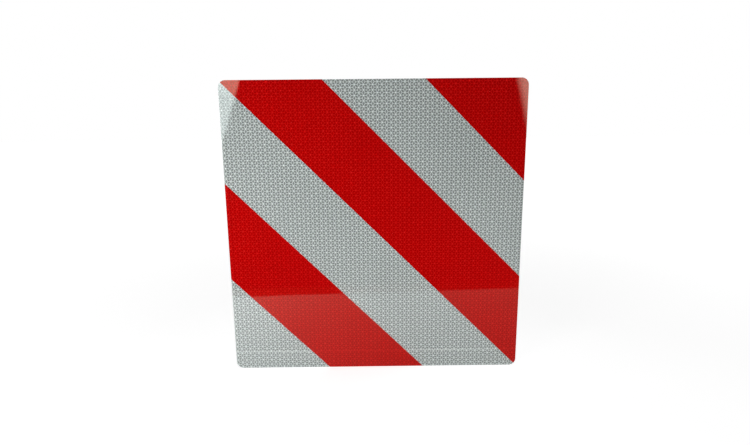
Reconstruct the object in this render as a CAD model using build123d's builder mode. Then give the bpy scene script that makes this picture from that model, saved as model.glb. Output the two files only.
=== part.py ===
"""Overhanging load sign: a square aluminium marker board, faced with retroreflective film.

Red stripes are printed across the film at 45 degrees and fall to the right. The board is held by
its back or its edges, so it has no holes. Millimetres, +Z up, the striped face towards -Y, and the
origin at the centre of the bare back face.
"""

import os
from math import cos, radians, sin

from build123d import *

# Board: flat aluminium sheet, punched with round corners, its back edge deburred
board_width = 423.0
board_height = 423.0
corner_radius = 10.0
plate_thickness = 2.0
edge_break = 0.3

# Retroreflective film: the adhesive, the white film that closes the air cells, the clear prism film
adhesive_thickness = 0.08
base_film_thickness = 0.1
prism_film_thickness = 0.25

# Stripes: transparent red ink on the film. One border runs through the middle of the board, and the
# run is a stripe's width measured along the board's top edge.
ink_thickness = 0.05
stripe_run = 141.0
stripe_angle = 45.0

# Heights over the back face at which the layers lie, each on the one before it
adhesive_seat = plate_thickness
base_film_seat = adhesive_seat + adhesive_thickness
prism_film_seat = base_film_seat + base_film_thickness
ink_seat = prism_film_seat + prism_film_thickness

# Square to the stripes: the direction, a stripe's width, the step from one red stripe to the next, and
# where the lowest red stripe has its middle line, seen from the board's centre
across = Vector(sin(radians(stripe_angle)), cos(radians(stripe_angle)))
stripe_width = stripe_run * across.X
stripe_pitch = 2 * stripe_width
lowest_stripe = -1.5 * stripe_width

# A length that crosses the whole board along a stripe
stripe_length = board_width + board_height

os.makedirs("parts", exist_ok=True)

# Backing plate: carries everything, and its back is the face that goes against the load
with BuildPart() as backing_plate:
    with BuildSketch(Plane.XZ):
        RectangleRounded(board_width, board_height, corner_radius)
    extrude(amount=plate_thickness)
    back_face = backing_plate.faces().sort_by(Axis.Y)[-1]
    chamfer(back_face.edges(), length=edge_break)
backing_plate.part.label = "backing_plate"
export_step(backing_plate.part, "parts/backing_plate.step")

# Film layers: unbroken sheets over the whole face, cut flush with the plate. The base film is welded
# to the prism film along a fine net of lines, and the prism film shows white between the stripes.
film_layers = {
    "adhesive_layer": (adhesive_seat, adhesive_thickness),
    "base_film": (base_film_seat, base_film_thickness),
    "prism_film": (prism_film_seat, prism_film_thickness),
}
for name, (seat, thickness) in film_layers.items():
    with BuildPart() as film_layer:
        with BuildSketch(Plane.XZ.offset(seat)):
            RectangleRounded(board_width, board_height, corner_radius)
        extrude(amount=thickness)
    film_layer.part.label = name
    export_step(film_layer.part, f"parts/{name}.step")

# Red stripes: every second stripe of the board, from the lower left to the upper right. Each is
# printed up to the board's edge and cut off with its round corner.
red_stripes = ("lower_red_stripe", "middle_red_stripe", "corner_red_stripe")
for place, name in enumerate(red_stripes):
    stripe_centre = across * (lowest_stripe + place * stripe_pitch)
    with BuildPart() as red_stripe:
        with BuildSketch(Plane.XZ.offset(ink_seat)):
            RectangleRounded(board_width, board_height, corner_radius)
            with Locations((stripe_centre.X, stripe_centre.Y)):
                Rectangle(stripe_length, stripe_width, rotation=-stripe_angle, mode=Mode.INTERSECT)
        extrude(amount=ink_thickness)
    red_stripe.part.label = name
    export_step(red_stripe.part, f"parts/{name}.step")
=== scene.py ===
"""Overhanging load sign: a square board with red and white reflective stripes, dressed and lit."""

import math

import bmesh
import bpy
from mathutils import Matrix, Vector


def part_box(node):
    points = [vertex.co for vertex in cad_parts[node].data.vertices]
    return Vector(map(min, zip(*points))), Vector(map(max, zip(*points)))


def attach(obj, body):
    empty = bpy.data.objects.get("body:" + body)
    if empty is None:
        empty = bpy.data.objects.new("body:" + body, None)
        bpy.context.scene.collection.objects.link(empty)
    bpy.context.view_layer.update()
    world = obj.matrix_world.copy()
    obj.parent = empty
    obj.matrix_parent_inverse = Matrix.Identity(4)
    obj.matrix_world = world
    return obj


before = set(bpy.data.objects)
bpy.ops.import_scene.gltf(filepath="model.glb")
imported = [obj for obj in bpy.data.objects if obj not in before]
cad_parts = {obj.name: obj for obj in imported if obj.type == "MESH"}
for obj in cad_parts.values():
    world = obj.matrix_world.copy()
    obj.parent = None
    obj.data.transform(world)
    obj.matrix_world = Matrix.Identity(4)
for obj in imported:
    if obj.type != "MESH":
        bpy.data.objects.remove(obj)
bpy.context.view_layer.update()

# Backing plate: a flat square of 2 mm aluminium sheet with round corners, stamped out and left in mill
# finish. Its back is bare metal with the fine straight lines of the rolling mill, hand marks and scratches.
# Round its edges the punch has left a burnished band at the front and a torn one behind it.
board_low, board_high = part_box("backing_plate")
half_board = (board_high.x - board_low.x) / 2
corner_radius = 0.010
cut_width = 0.0005
torn_from, torn_to = -0.0009, -0.0007
torn_waver = 0.0008
mill_relief = 0.000012
scratch_bend = 0.04
long_slant, cross_slant = 0.62, -0.95
fine_line_lumps = (2.5, 2.5, 1300.0)
broad_line_lumps = (0.6, 0.6, 240.0)
stain_lumps = (9.0, 9.0, 15.0)
long_scratch_lumps = (6.0, 6.0, 420.0)
cross_scratch_lumps = (10.0, 10.0, 520.0)
torn_lumps = (200.0, 1.0, 200.0)
drag_lumps = (1400.0, 50.0, 1400.0)
edge_lumps = (260.0, 260.0, 260.0)
rolled_grey = (0.53, 0.538, 0.55, 1.0)
rolled_light = (0.67, 0.678, 0.69, 1.0)
smudged = (0.47, 0.475, 0.48, 1.0)
scratch_light = (0.86, 0.87, 0.88, 1.0)
burnished = (0.64, 0.645, 0.655, 1.0)
torn = (0.40, 0.405, 0.415, 1.0)


def wire(tree, socket, value):
    """Feeds an input from another node, or sets it to a plain value."""
    if isinstance(value, bpy.types.NodeSocket):
        tree.links.new(value, socket)
    else:
        socket.default_value = value


def add_node(tree, kind, options, *values, **inputs):
    """Adds a shader node, sets its options, and fills its inputs in their order or by their names."""
    node = tree.nodes.new("ShaderNode" + kind)
    for name, option in options.items():
        setattr(node, name, option)
    for socket, value in zip(node.inputs, values):
        wire(tree, socket, value)
    for name, value in inputs.items():
        wire(tree, node.inputs[name.replace("_", " ")], value)
    return node


def maths(tree, operation, *values):
    """One step of arithmetic."""
    return add_node(tree, "Math", {"operation": operation}, *values).outputs[0]


def spread(tree, value, from_low, from_high, to_low, to_high):
    """Carries a value from one range to another, held at both ends."""
    return add_node(tree, "MapRange", {"clamp": True}, value, from_low, from_high, to_low, to_high).outputs[0]


def blend_colour(tree, share, first, second):
    """Goes from the first colour to the second as the share goes from 0 to 1."""
    mix = add_node(tree, "Mix", {"data_type": "RGBA"}, share)
    wire(tree, mix.inputs[6], first)
    wire(tree, mix.inputs[7], second)
    return mix.outputs[2]


def cloudy(tree, place, lumps, detail, turn=0.0):
    """A noise with so many lumps to the metre along each axis, turned in the plane of the board."""
    lump = [1 / count for count in lumps]
    laid = add_node(tree, "Mapping", {"vector_type": "TEXTURE"}, place, Rotation=(0.0, turn, 0.0), Scale=lump)
    noise = add_node(tree, "TexNoise", {}, Vector=laid.outputs[0], Scale=1.0, Detail=detail)
    return noise.outputs[0]


def new_group(name, inputs, output):
    """Starts a shader node group and gives back the group, its inputs and the socket it puts out."""
    group = bpy.data.node_groups.new(name, "ShaderNodeTree")
    for label, kind in inputs.items():
        group.interface.new_socket(name=label, in_out="INPUT", socket_type=kind)
    group.interface.new_socket(name=output, in_out="OUTPUT", socket_type="NodeSocketFloat")
    taken = group.nodes.new("NodeGroupInput")
    given = group.nodes.new("NodeGroupOutput")
    return group, taken.outputs, given.inputs[output]


def use_group(tree, group, **inputs):
    """Places a group in a material, with its own values."""
    return add_node(tree, "Group", {"node_tree": group}, **inputs).outputs[0]


def new_finish(name):
    """Starts a material and gives back the material, its nodes and the object coordinates."""
    finish = bpy.data.materials.new(name)
    finish.use_nodes = True
    finish.node_tree.nodes.clear()
    return finish, finish.node_tree, finish.node_tree.nodes.new("ShaderNodeTexCoord").outputs["Object"]


def close_finish(tree, **inputs):
    """Ends a material in one shader."""
    shader = add_node(tree, "BsdfPrincipled", {}, **inputs)
    output = tree.nodes.new("ShaderNodeOutputMaterial")
    tree.links.new(shader.outputs[0], output.inputs["Surface"])


def raised(tree, height, depth):
    """The normal of a surface that rises by so many metres where the height is 1."""
    return add_node(tree, "Bump", {}, Strength=1.0, Distance=depth, Height=height).outputs[0]


def dress(name, finish):
    """Gives a CAD piece its finish."""
    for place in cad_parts[name].material_slots:
        place.material = finish


# The cut edge's wear grows towards the board's outline, which is a square with round corners.
edge_wear, taken, given = new_group(
    "edge_wear", {"Vector": "NodeSocketVector", "Width": "NodeSocketFloat"}, "Wear"
)
apart = add_node(edge_wear, "SeparateXYZ", {}, taken["Vector"]).outputs
past = [maths(edge_wear, "SUBTRACT", maths(edge_wear, "ABSOLUTE", apart[axis]), half_board - corner_radius)
        for axis in "XZ"]
beyond = [maths(edge_wear, "POWER", maths(edge_wear, "MAXIMUM", each, 0.0), 2.0) for each in past]
round_part = maths(edge_wear, "SQRT", maths(edge_wear, "ADD", *beyond))
straight_part = maths(edge_wear, "MINIMUM", maths(edge_wear, "MAXIMUM", *past), 0.0)
from_outline = maths(edge_wear, "SUBTRACT", maths(edge_wear, "ADD", round_part, straight_part), corner_radius)
uneven = maths(edge_wear, "SUBTRACT", cloudy(edge_wear, taken["Vector"], edge_lumps, 3.0), 0.5)
worn = maths(edge_wear, "MULTIPLY_ADD", uneven, taken["Width"], from_outline)
wear = maths(edge_wear, "ADD", maths(edge_wear, "DIVIDE", worn, taken["Width"]), 1.0)
edge_wear.links.new(maths(edge_wear, "SMOOTH_MAX", wear, 0.0, 0.05), given)

# Hand marks are soft smears that dull a shiny surface here and there.
hand_marks, taken, given = new_group(
    "hand_marks", {"Vector": "NodeSocketVector", "Scale": "NodeSocketFloat"}, "Marks"
)
smear = add_node(hand_marks, "TexNoise", {}, Vector=taken["Vector"], Scale=taken["Scale"], Detail=5.0,
                 Roughness=0.62, Distortion=0.6)
hand_marks.links.new(spread(hand_marks, smear.outputs[0], 0.46, 0.72, 0.0, 1.0), given)

aluminium, tree, place = new_finish("rolled_aluminium")

# Rolling lines run level across the sheet, fine ones over broad ones, under faint stains.
fine_lines = cloudy(tree, place, fine_line_lumps, 3.0)
broad_lines = cloudy(tree, place, broad_line_lumps, 3.0)
rolled = maths(tree, "MULTIPLY_ADD", fine_lines, 0.65, maths(tree, "MULTIPLY", broad_lines, 0.35))
metal = blend_colour(tree, spread(tree, rolled, 0.40, 0.60, 0.0, 1.0), rolled_grey, rolled_light)
stain = cloudy(tree, place, stain_lumps, 4.0)
metal = blend_colour(tree, spread(tree, stain, 0.42, 0.68, 0.0, 0.4), metal, rolled_grey)

# Scratches are the few highest streaks of a long thin noise, slightly bent, and smears lie between them.
drift = add_node(tree, "TexNoise", {}, Vector=place, Scale=5.0, Detail=1.0).outputs["Color"]
bend = (scratch_bend, scratch_bend, scratch_bend)
bent = add_node(tree, "VectorMath", {"operation": "MULTIPLY_ADD"}, drift, bend, place).outputs[0]
long_streaks = cloudy(tree, bent, long_scratch_lumps, 0.0, long_slant)
cross_streaks = cloudy(tree, bent, cross_scratch_lumps, 0.0, cross_slant)
scored = maths(tree, "MAXIMUM", spread(tree, long_streaks, 0.785, 0.825, 0.0, 1.0),
               spread(tree, cross_streaks, 0.795, 0.835, 0.0, 1.0))
marks = use_group(tree, hand_marks, Vector=place, Scale=13.0)
metal = blend_colour(tree, maths(tree, "MULTIPLY", marks, 0.5), metal, smudged)
metal = blend_colour(tree, maths(tree, "MULTIPLY", scored, 0.75), metal, scratch_light)

# The cut edge is burnished in front and torn behind, with a ragged border and lines dragged by the punch.
depth = add_node(tree, "SeparateXYZ", {}, place).outputs["Y"]
ragged = maths(tree, "MULTIPLY_ADD", cloudy(tree, place, torn_lumps, 3.0), torn_waver, depth)
behind = spread(tree, ragged, torn_from, torn_to, 0.0, 0.7)
dragged = cloudy(tree, place, drag_lumps, 2.0)
cut = blend_colour(tree, maths(tree, "MULTIPLY_ADD", dragged, 0.5, behind), burnished, torn)
edge = maths(tree, "MINIMUM", use_group(tree, edge_wear, Vector=place, Width=cut_width), 1.0)
metal = blend_colour(tree, edge, metal, cut)

dullness = maths(tree, "MULTIPLY_ADD", fine_lines, 0.16, 0.25)
dullness = maths(tree, "MULTIPLY_ADD", marks, 0.16, dullness)
dullness = maths(tree, "MULTIPLY_ADD", edge, 0.35, dullness)
relief = maths(tree, "SUBTRACT", rolled, maths(tree, "MULTIPLY", scored, 0.8))
close_finish(tree, Base_Color=metal, Metallic=1.0, Roughness=dullness,
             Normal=raised(tree, relief, mill_relief))
dress("backing_plate", aluminium)

# Adhesive and base film: the two hidden layers of the reflective sheet, a clear pressure adhesive rolled
# on to the aluminium and a white plastic film over it. Only their cut edges show, as two fine lines round
# the rim of the board.
gum_lumps = (320.0, 320.0, 320.0)
film_lumps = (420.0, 420.0, 420.0)
gum_dark = (0.50, 0.49, 0.44, 1.0)
gum_light = (0.66, 0.65, 0.59, 1.0)
film_grey = (0.70, 0.71, 0.70, 1.0)
film_white = (0.84, 0.85, 0.84, 1.0)

adhesive, tree, place = new_finish("clear_adhesive")
flow = cloudy(tree, place, gum_lumps, 3.0)
gum = blend_colour(tree, flow, gum_dark, gum_light)
close_finish(tree, Base_Color=gum, Roughness=spread(tree, flow, 0.3, 0.7, 0.30, 0.48), IOR=1.47)
dress("adhesive_layer", adhesive)

white_film, tree, place = new_finish("white_base_film")
flow = cloudy(tree, place, film_lumps, 4.0)
cream = blend_colour(tree, flow, film_grey, film_white)
close_finish(tree, Base_Color=cream, Roughness=spread(tree, flow, 0.3, 0.7, 0.38, 0.55))
dress("base_film", white_film)

# Prism film: the glossy clear top of the reflective sheet, with a mirror-like layer of tiny prisms behind
# it that looks silver grey by day. It is welded into rhombic panes, three to each hexagon, and rolled on,
# so its face stays very slightly wavy.
joint_pitch = 0.0072535
joint_x, joint_z = -0.00141, 0.00100
wave_depth = 0.000030
long_wave_lumps = (20.0, 20.0, 20.0)
short_wave_lumps = (150.0, 150.0, 150.0)
film_dullness = 0.022
pane_grey = (0.187, 0.209, 0.203, 1.0)
pane_silver = (0.240, 0.264, 0.257, 1.0)
cut_whitening = (0.66, 0.68, 0.67, 1.0)

# The wave of the rolled sheet is the same for the panes, the weld lines and the ink over them.
sheet_wave, taken, given = new_group("sheet_wave", {"Vector": "NodeSocketVector"}, "Height")
long_wave = cloudy(sheet_wave, taken["Vector"], long_wave_lumps, 1.0)
short_wave = cloudy(sheet_wave, taken["Vector"], short_wave_lumps, 1.0)
sheet_wave.links.new(maths(sheet_wave, "MULTIPLY_ADD", short_wave, 0.10, long_wave), given)

# The prisms of the three panes in a hexagon face three ways, and the upright pane, which looks lighter under
# this light, is painted lighter where this mask is used.
# A point lies in an upright pane where it is nearer to a column of joints than to either slanting row.
upright_panes, taken, given = new_group("upright_panes", {"Vector": "NodeSocketVector"}, "Upright")
row_gap = joint_pitch * math.sqrt(3.0) / 2
off_row = []
for slant in (0, 60, 120):
    across_row = Vector((math.cos(math.radians(slant)), 0.0, math.sin(math.radians(slant)))) / row_gap
    rows_off = add_node(upright_panes, "VectorMath", {"operation": "DOT_PRODUCT"},
                        taken["Vector"], across_row).outputs["Value"]
    start = across_row.x * joint_x + across_row.z * joint_z
    counted = maths(upright_panes, "SUBTRACT", rows_off, start)
    off_row.append(maths(upright_panes, "PINGPONG", counted, 0.5))
nearest_slant = maths(upright_panes, "MINIMUM", off_row[1], off_row[2])
upright_panes.links.new(maths(upright_panes, "LESS_THAN", off_row[0], nearest_slant), given)


def mottle(tree, place, *parts):
    """A soft unevenness about one half, the sum of noises given as lumps to the metre and their share."""
    total = 0.0
    for lumps, share in parts:
        total = maths(tree, "MULTIPLY_ADD", cloudy(tree, place, (lumps, lumps, lumps), 2.0), share, total)
    return total


def film_finish(tree, place, colour, dullness, **inputs):
    """Ends a finish on the film's face, which waves with the sheet and which hand marks dull a little."""
    marks = use_group(tree, hand_marks, Vector=place, Scale=16.0)
    wave = use_group(tree, sheet_wave, Vector=place)
    close_finish(tree, Base_Color=colour, Roughness=maths(tree, "MULTIPLY_ADD", marks, 0.03, dullness),
                 Normal=raised(tree, wave, wave_depth), **inputs)


silver_panes, tree, place = new_finish("silver_panes")
# The finest noise here is painted glint, the glitter of the tiny prisms; the coarser ones are random
# patchiness of the film's own tone.
silvering_and_painted_light = mottle(tree, place, (900.0, 0.60), (130.0, 0.20), (9.0, 0.20))
# Painted light: the upright panes are made lighter, as their prisms catch the light another way.
silvering_and_painted_light = maths(tree, "MULTIPLY_ADD", use_group(tree, upright_panes, Vector=place), 0.12, silvering_and_painted_light)
silver = blend_colour(tree, spread(tree, silvering_and_painted_light, 0.36, 0.72, 0.0, 1.0), pane_grey, pane_silver)
edge = use_group(tree, edge_wear, Vector=place, Width=cut_width)
silver = blend_colour(tree, maths(tree, "MINIMUM", edge, 0.8), silver, cut_whitening)
film_finish(tree, place, silver, film_dullness, IOR=1.65)
dress("prism_film", silver_panes)

# Weld lines: the fine matt white net where the prism film is welded to the base film, round every pane.
# One hexagon is modelled and repeated over the whole board, trimmed to the board's outline and cut along
# the edges of the stripes. A level seam near the foot is where two lengths of the embossed film meet.
line_width = 0.00048
line_rise = 0.00003
seam_width = 0.0005
seam_level = -0.1854
rim_margin = 0.0001
merge_reach = 0.000002
corner_step = 15
map_margin = 0.01
weld_dullness = 0.80
weld_grey = (0.690, 0.752, 0.734, 1.0)
weld_white = (0.766, 0.832, 0.810, 1.0)
pane_side = joint_pitch / math.sqrt(3.0)
column_step = joint_pitch * math.sqrt(3.0)
film_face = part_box("prism_film")[0].y
net_face = film_face - line_rise
first_x = joint_x + pane_side - column_step * (math.ceil((joint_x + half_board) / column_step) + 1)
first_z = joint_z - joint_pitch * (math.ceil((joint_z + half_board) / joint_pitch) + 1)
columns = math.ceil((half_board - first_x) / column_step) + 1
rows = math.ceil((half_board - first_z) / joint_pitch) + 1

# Three of the hexagon's six spokes are dissolved, and the three panes left are inset and opened.
bpy.ops.object.select_all(action="DESELECT")
bpy.ops.mesh.primitive_circle_add(
    vertices=6, radius=pane_side, fill_type="TRIFAN",
    location=(first_x, net_face, first_z), rotation=(math.radians(90), math.radians(30), 0.0)
)
net = bpy.context.active_object
net.name = "weld_net"
bpy.ops.object.transform_apply(location=True, rotation=True, scale=True)
bpy.ops.object.mode_set(mode="EDIT")
bpy.ops.mesh.select_mode(type="EDGE")
bpy.ops.mesh.select_all(action="DESELECT")
shape = bmesh.from_edit_mesh(net.data)
for line in shape.edges:
    middle = (line.verts[0].co + line.verts[1].co) / 2
    reach = middle - Vector((first_x, net_face, first_z))
    turn = round(math.degrees(math.atan2(reach.z, reach.x))) % 120
    line.select = reach.length < pane_side * 0.6 and turn in (0, 1, 119)
bmesh.update_edit_mesh(net.data)
bpy.ops.mesh.dissolve_edges()
bpy.ops.mesh.select_mode(type="FACE")
bpy.ops.mesh.select_all(action="SELECT")
bpy.ops.mesh.inset(thickness=line_width / 2, depth=0.0, use_individual=True)
bpy.ops.mesh.delete(type="FACE")
bpy.ops.object.mode_set(mode="OBJECT")


def repeat(piece, count, step):
    """Copies a piece's mesh in a row."""
    row = piece.modifiers.new("row", "ARRAY")
    row.count = count
    row.use_relative_offset = False
    row.use_constant_offset = True
    row.constant_offset_displace = step
    bpy.ops.object.modifier_apply(modifier=row.name)


repeat(net, 2, (column_step / 2, 0.0, joint_pitch / 2))
repeat(net, columns, (column_step, 0.0, 0.0))
repeat(net, rows, (0.0, 0.0, joint_pitch))


def trim(point, outward):
    """Cuts the mesh that is open along a plane and drops what lies outside it."""
    bpy.ops.mesh.select_all(action="SELECT")
    bpy.ops.mesh.bisect(plane_co=point, plane_no=outward, clear_outer=True)


# The outline's round corners are trimmed in short flats, and the first and last of them are its sides.
bpy.ops.object.mode_set(mode="EDIT")
bpy.ops.mesh.select_all(action="SELECT")
bpy.ops.mesh.remove_doubles(threshold=merge_reach)
for side_x, side_z in ((-1, -1), (1, -1), (1, 1), (-1, 1)):
    hub = Vector((side_x, 0.0, side_z)) * (half_board - corner_radius)
    for degrees in range(0, 91, corner_step):
        turn = math.radians(degrees)
        outward = Vector((side_x * math.cos(turn), 0.0, side_z * math.sin(turn)))
        trim(hub + outward * (corner_radius - rim_margin), outward)

# The seam takes the place of the net between its two borders.
for border in (seam_level - seam_width / 2, seam_level + seam_width / 2):
    bpy.ops.mesh.select_all(action="SELECT")
    bpy.ops.mesh.bisect(plane_co=(0.0, 0.0, border), plane_no=(0.0, 0.0, 1.0))
bpy.ops.mesh.select_all(action="DESELECT")
shape = bmesh.from_edit_mesh(net.data)
for bit in shape.faces:
    bit.select = abs(bit.calc_center_median().z - seam_level) < seam_width / 2
bmesh.update_edit_mesh(net.data)
bpy.ops.mesh.delete(type="FACE")
bpy.ops.mesh.primitive_plane_add(
    size=seam_width, location=(0.0, net_face, seam_level), rotation=(math.radians(90), 0.0, 0.0)
)
bpy.ops.transform.resize(value=(2 * (half_board - rim_margin) / seam_width, 1.0, 1.0))
bpy.ops.object.mode_set(mode="OBJECT")

stripe_run = 2 * half_board / 3
along_stripe = Vector((1.0, 0.0, 1.0)).normalized()
outer_border = 3


def cut_field(name, from_border, to_border):
    """A copy of the net between two stripe borders, counted from the one through the board's middle.

    Where the cut leaves two bits that meet in one point only, the point is parted.
    """
    bpy.ops.object.select_all(action="DESELECT")
    net.select_set(True)
    bpy.context.view_layer.objects.active = net
    bpy.ops.object.duplicate()
    field = bpy.context.active_object
    field.name = name
    field.data.name = name
    bpy.ops.object.mode_set(mode="EDIT")
    if from_border > -outer_border:
        trim(Vector((from_border * stripe_run, 0.0, 0.0)), -along_stripe)
    if to_border < outer_border:
        trim(Vector((to_border * stripe_run, 0.0, 0.0)), along_stripe)
    shape = bmesh.from_edit_mesh(field.data)
    for point in list(shape.verts):
        if sum(line.is_boundary for line in point.link_edges) > 2:
            bmesh.utils.vert_separate(point, [])
    bmesh.update_edit_mesh(field.data)
    bpy.ops.mesh.select_all(action="SELECT")
    bpy.ops.mesh.delete_loose()
    bpy.ops.object.mode_set(mode="OBJECT")
    return field


def thicken(piece):
    """Gives the flat net its height and a map straight on to its face."""
    bpy.ops.object.select_all(action="DESELECT")
    piece.select_set(True)
    bpy.context.view_layer.objects.active = piece
    wall = piece.modifiers.new("height", "SOLIDIFY")
    wall.thickness = line_rise
    wall.offset = -1.0
    bpy.ops.object.modifier_apply(modifier=wall.name)
    mesh = piece.data
    corner = Vector((min(v.co.x for v in mesh.vertices), 0.0, min(v.co.z for v in mesh.vertices)))
    size = max(max(v.co.x for v in mesh.vertices) - corner.x, max(v.co.z for v in mesh.vertices) - corner.z)
    face_map = mesh.uv_layers.new(name="OFBake")
    for loop in mesh.loops:
        spot = (mesh.vertices[loop.vertex_index].co - corner) * (1 - 2 * map_margin) / size
        face_map.data[loop.index].uv = (spot.x + map_margin, spot.z + map_margin)


white_net = cut_field("weld_net_white", -3, -2)
middle_field = cut_field("middle_white_field", -1, 0)
upper_field = cut_field("upper_white_field", 1, 2)
bpy.ops.object.select_all(action="DESELECT")
for field in (white_net, middle_field, upper_field):
    field.select_set(True)
bpy.context.view_layer.objects.active = white_net
bpy.ops.object.join()
thicken(white_net)

weld_lines, tree, place = new_finish("weld_lines")
pressing = mottle(tree, place, (240.0, 0.6), (12.0, 0.4))
weld = blend_colour(tree, spread(tree, pressing, 0.35, 0.65, 0.0, 1.0), weld_grey, weld_white)
film_finish(tree, place, weld, weld_dullness, IOR=1.45)
white_net.data.materials.clear()
white_net.data.materials.append(weld_lines)
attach(white_net, "root")

# Red stripes: three diagonal bands of clear red ink, screen printed on the face of the film. The prisms
# behind make the ink a deep red, and the weld lines show through it a little lighter.
ink_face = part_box("middle_red_stripe")[0].y
ink_edge_width = 0.0004
stripe_deep = (0.310, 0.0001, 0.0003, 1.0)
stripe_red = (0.378, 0.0003, 0.0005, 1.0)
line_red = (0.585, 0.006, 0.006, 1.0)
line_light = (0.670, 0.011, 0.010, 1.0)
ink_wear = (0.50, 0.05, 0.045, 1.0)
ink_shine = (0.70, 0.52, 0.41, 1.0)

red_ink, tree, place = new_finish("red_ink")
laying_and_painted_light = mottle(tree, place, (900.0, 0.60), (130.0, 0.20), (10.0, 0.20))
# Painted light: the ink over the upright panes is made lighter, as the prisms behind them catch the light
# another way.
laying_and_painted_light = maths(tree, "MULTIPLY_ADD", use_group(tree, upright_panes, Vector=place), 0.08, laying_and_painted_light)
red = blend_colour(tree, spread(tree, laying_and_painted_light, 0.36, 0.70, 0.0, 1.0), stripe_deep, stripe_red)
edge = use_group(tree, edge_wear, Vector=place, Width=ink_edge_width)
red = blend_colour(tree, maths(tree, "MINIMUM", edge, 0.7), red, ink_wear)
film_finish(tree, place, red, film_dullness, IOR=1.5, Specular_Tint=ink_shine)

red_lines, tree, place = new_finish("red_weld_lines")
pressing = mottle(tree, place, (240.0, 0.6), (12.0, 0.4))
red = blend_colour(tree, spread(tree, pressing, 0.35, 0.65, 0.0, 1.0), line_red, line_light)
film_finish(tree, place, red, film_dullness, IOR=1.5, Specular_Tint=ink_shine)

for stripe, from_border in (("lower_red", -2), ("middle_red", 0), ("corner_red", 2)):
    dress(stripe + "_stripe", red_ink)
    red_net = cut_field("weld_net_" + stripe, from_border, from_border + 1)
    bpy.ops.object.mode_set(mode="EDIT")
    bpy.ops.mesh.select_all(action="SELECT")
    bpy.ops.transform.translate(value=(0.0, ink_face - film_face, 0.0))
    bpy.ops.object.mode_set(mode="OBJECT")
    thicken(red_net)
    red_net.data.materials.clear()
    red_net.data.materials.append(red_lines)
    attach(red_net, "root")
bpy.data.objects.remove(net)

# Floor and room: a plain pale table that the board stands on, seen as white. The film mirrors the lit
# front of the table as far as its wooden lip, and past that a dark room. Those are cards that only
# reflections show.
floor_level = board_low.z
floor_width = 14.0
floor_lumps = (0.6, 0.6, 0.6)
floor_pale = (0.80, 0.80, 0.80, 1.0)
floor_white = (0.84, 0.84, 0.84, 1.0)
near_reach, far_reach = 0.42, 1.40
near_lift, far_lift = 0.73, 0.88
mirrored_lift = 0.35
left_lamp_place = (-0.612, -0.786, -0.12)
right_lamp_place = (0.285, -0.340, -0.12)
glare_from, glare_to = 0.25, 0.50
glare_share = 0.95
full_lift = 1.0
black = (0.0, 0.0, 0.0, 1.0)
table_edge = 0.337
table_length = 4.0
table_gap = 0.006
edge_turn = math.radians(-3.4)
bright_from, bright_to = -0.25, 0.05
bright_left, plain_right = 2.15, 0.95
at_edge, at_board = 1.05, 0.50
lip_width = 0.045
lip_wood = (1.0, 0.22, 0.12, 1.0)
lip_from, lip_to = -0.25, 0.25
lip_left, lip_right = 0.5, 0.1
card_rise = 0.0003
room_width = 12.0
room_depth = 6.0
room_height = 8.0
room_glow = 0.004
wall_distance = 3.2
wall_middle = 3.9
white = (1.0, 1.0, 1.0, 1.0)
upright = math.radians(90)


def add_card(name, width, height, place, turn):
    """A flat card that isn't part of the object."""
    bpy.ops.object.select_all(action="DESELECT")
    bpy.ops.mesh.primitive_plane_add(size=1.0)
    card = bpy.context.active_object
    card.name = name
    card.scale = (width, height, 1.0)
    card.rotation_euler = turn
    card.location = place
    return card


def only_mirrored(card, shine):
    """A card with its own glow that nothing but a reflection shows."""
    card.visible_camera = False
    card.visible_diffuse = False
    card.visible_transmission = False
    card.visible_volume_scatter = False
    card.visible_shadow = False
    card.data.materials.append(shine)


def new_glow(name, colour):
    """A glow whose strength is still to be wired, by the place on the card in shares of its sides."""
    shine, tree, place = new_finish(name)
    glow = add_node(tree, "Emission", {}, Color=colour)
    output = tree.nodes.new("ShaderNodeOutputMaterial")
    tree.links.new(glow.outputs[0], output.inputs["Surface"])
    return shine, tree, add_node(tree, "SeparateXYZ", {}, place).outputs, glow.inputs["Strength"]


floor = add_card("floor", floor_width, floor_width, (0.0, 0.0, floor_level), (0.0, 0.0, 0.0))
pale, tree, place = new_finish("pale_table")
paper = blend_colour(tree, cloudy(tree, place, floor_lumps, 3.0), floor_pale, floor_white)
rays = add_node(tree, "LightPath", {}).outputs
seen = maths(tree, "MAXIMUM", rays["Is Camera Ray"], rays["Is Transmission Ray"])
distance = add_node(tree, "VectorMath", {"operation": "LENGTH"}, place).outputs["Value"]
level = spread(tree, distance, near_reach / floor_width, far_reach / floor_width, near_lift, far_lift)

# Close to a lamp the table would be seen far past white, so most of what is seen there is its own lift.
glare = 0.0
for lamp_place in (left_lamp_place, right_lamp_place):
    lamp_foot = (lamp_place[0] / floor_width, lamp_place[1] / floor_width, 0.0)
    distance = add_node(tree, "VectorMath", {"operation": "DISTANCE"}, place, lamp_foot).outputs["Value"]
    near_lamp = spread(tree, distance, glare_from / floor_width, glare_to / floor_width, glare_share, 0.0)
    glare = maths(tree, "MAXIMUM", glare, near_lamp)
level = maths(tree, "MULTIPLY_ADD", glare, maths(tree, "SUBTRACT", full_lift, level), level)
paper = blend_colour(tree, maths(tree, "MULTIPLY", seen, glare), paper, black)
table = add_node(tree, "BsdfDiffuse", {}, Color=paper)
lift = maths(tree, "MULTIPLY", seen, level)
lift = maths(tree, "MULTIPLY_ADD", rays["Is Glossy Ray"], mirrored_lift, lift)
glow = add_node(tree, "Emission", {}, Strength=lift)
lit = add_node(tree, "AddShader", {}, table.outputs[0], glow.outputs[0])
output = tree.nodes.new("ShaderNodeOutputMaterial")
tree.links.new(lit.outputs[0], output.inputs["Surface"])
floor.data.materials.append(pale)

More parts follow.
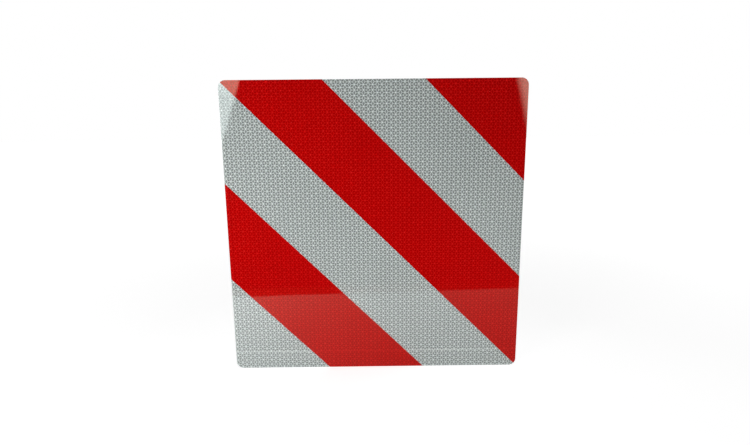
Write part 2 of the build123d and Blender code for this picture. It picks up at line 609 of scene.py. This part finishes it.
# The mirrored table is brightest on the left and towards its edge, which isn't quite level in the film.
turned = (0.0, 0.0, edge_turn)
table_glow, tree, at, strength = new_glow("lit_table", white)
across = spread(tree, at["X"], bright_from / table_length, bright_to / table_length, bright_left, plain_right)
along = spread(tree, at["Y"], -0.5, 0.5, at_edge, at_board)
wire(tree, strength, maths(tree, "MULTIPLY", across, along))
lit_table = add_card("lit_table", table_length, table_edge - table_gap,
                     (0.0, -(table_edge + table_gap) / 2, floor_level + card_rise), turned)
only_mirrored(lit_table, table_glow)

lip_glow, tree, at, strength = new_glow("table_lip", lip_wood)
across = spread(tree, at["X"], lip_from / table_length, lip_to / table_length, lip_left, lip_right)
wire(tree, strength, across)
table_lip = add_card("table_lip", table_length, lip_width,
                     (0.0, -table_edge - lip_width / 2, floor_level + 2 * card_rise), turned)
only_mirrored(table_lip, lip_glow)

dark, tree, at, strength = new_glow("dark_room", white)
wire(tree, strength, room_glow)
room_floor = add_card("room_floor", room_width, room_depth,
                      (0.0, -table_edge - room_depth / 2, floor_level + card_rise), turned)
room_wall = add_card("room_wall", room_width, room_height,
                     (0.0, -wall_distance, floor_level + wall_middle), (upright, 0.0, 0.0))
for card in (room_floor, room_wall):
    only_mirrored(card, dark)

# Light: a long strip lamp low on the left in front of the board, a weaker one close by on the right, and a
# pale sky all round. The film mirrors two soft boxes in its upper corners.
sky_level = 0.24
lamp_height = 0.16
left_lamp_width = 0.40
left_lamp_power = 7.8
right_lamp_width = 0.20
right_lamp_power = 0.43
box_width = 0.8
box_height = 1.2
box_pale = (0.88, 1.0, 0.98, 1.0)
box_level = 7.5
box_foot_level = 5.4
left_box_place = (-0.759, -1.2, 0.663)
left_box_lean = math.radians(19.4)
left_side_from, left_side_to = 0.492, 0.499
left_foot_from, left_foot_to = -0.285, -0.245
left_fade_from, left_fade_to = -0.25, 0.35
right_box_place = (0.845, -1.2, 0.595)
right_box_lean = math.radians(-14.9)
right_side_from, right_side_to = -0.500, -0.470
right_fade_from, right_fade_to = -0.35, 0.25

scene = bpy.context.scene
scene.view_settings.view_transform = "Standard"
sky = bpy.data.worlds.new("pale_sky")
scene.world = sky
sky.use_nodes = True
tree = sky.node_tree
tree.nodes.clear()
rays = add_node(tree, "LightPath", {}).outputs
seen = maths(tree, "MAXIMUM", rays["Is Camera Ray"], rays["Is Glossy Ray"])
seen = maths(tree, "MAXIMUM", seen, rays["Is Transmission Ray"])
shine = add_node(tree, "Background", {}, Color=white,
                 Strength=spread(tree, seen, 0.0, 1.0, sky_level, 1.0))
output = tree.nodes.new("ShaderNodeOutputWorld")
tree.links.new(shine.outputs[0], output.inputs["Surface"])


def add_lamp(name, place, width, height, power):
    """A flat lamp turned to the middle of the board, which lights it and isn't seen."""
    light = bpy.data.lights.new(name, "AREA")
    light.shape = "RECTANGLE"
    light.size = width
    light.size_y = height
    light.energy = power
    lamp = bpy.data.objects.new(name, light)
    scene.collection.objects.link(lamp)
    lamp.location = place
    lamp.rotation_euler = (-Vector(place)).to_track_quat("-Z", "Y").to_euler()
    lamp.visible_camera = False
    lamp.visible_glossy = False


add_lamp("left_lamp", left_lamp_place, left_lamp_width, lamp_height, left_lamp_power)
add_lamp("right_lamp", right_lamp_place, right_lamp_width, lamp_height, right_lamp_power)

# The left box has a sharp side towards the board and a weaker foot, and the right one a soft side. Both fade
# out away from the board.
left_glow, tree, at, strength = new_glow("left_soft_box", box_pale)
sharp_side = spread(tree, at["X"], left_side_from, left_side_to, 1.0, 0.0)
weak_foot = spread(tree, at["Y"], left_foot_from, left_foot_to, box_foot_level, box_level)
outward = spread(tree, at["X"], left_fade_from, left_fade_to, 0.0, 1.0)
wire(tree, strength, maths(tree, "MULTIPLY", maths(tree, "MULTIPLY", sharp_side, weak_foot), outward))
left_box = add_card("left_soft_box", box_width, box_height, left_box_place, (upright, left_box_lean, 0.0))
only_mirrored(left_box, left_glow)

right_glow, tree, at, strength = new_glow("right_soft_box", box_pale)
soft_side = spread(tree, at["X"], right_side_from, right_side_to, 0.0, box_level)
outward = spread(tree, at["X"], right_fade_from, right_fade_to, 1.0, 0.0)
wire(tree, strength, maths(tree, "MULTIPLY", soft_side, outward))
right_box = add_card("right_soft_box", box_width, box_height, right_box_place, (upright, right_box_lean, 0.0))
only_mirrored(right_box, right_glow)

# Camera: at arm's length in front of the board, a little below its upper edge, tipped down to look at the
# middle. The lens is a wide one on a 36 mm sensor.
tip, swing, lean = math.radians(-11.898), math.radians(-0.338), math.radians(0.547)
view_distance = 0.73105
view_x, view_z = -0.00429, 0.16633
focal_length = 24.996
sensor_width = 36.0
nearest_seen = 0.01
lens = bpy.data.cameras.new("camera")
lens.sensor_width = sensor_width
lens.lens = focal_length
lens.clip_start = nearest_seen
camera = bpy.data.objects.new("camera", lens)
scene.collection.objects.link(camera)
facing = Matrix.Rotation(swing, 3, "Z") @ Matrix.Rotation(tip, 3, "X") @ Matrix.Rotation(lean, 3, "Y")
stand = Matrix((facing.col[0], facing.col[2], -facing.col[1])).transposed().to_4x4()
camera.matrix_world = Matrix.Translation((view_x, film_face - view_distance, view_z)) @ stand
scene.camera = camera
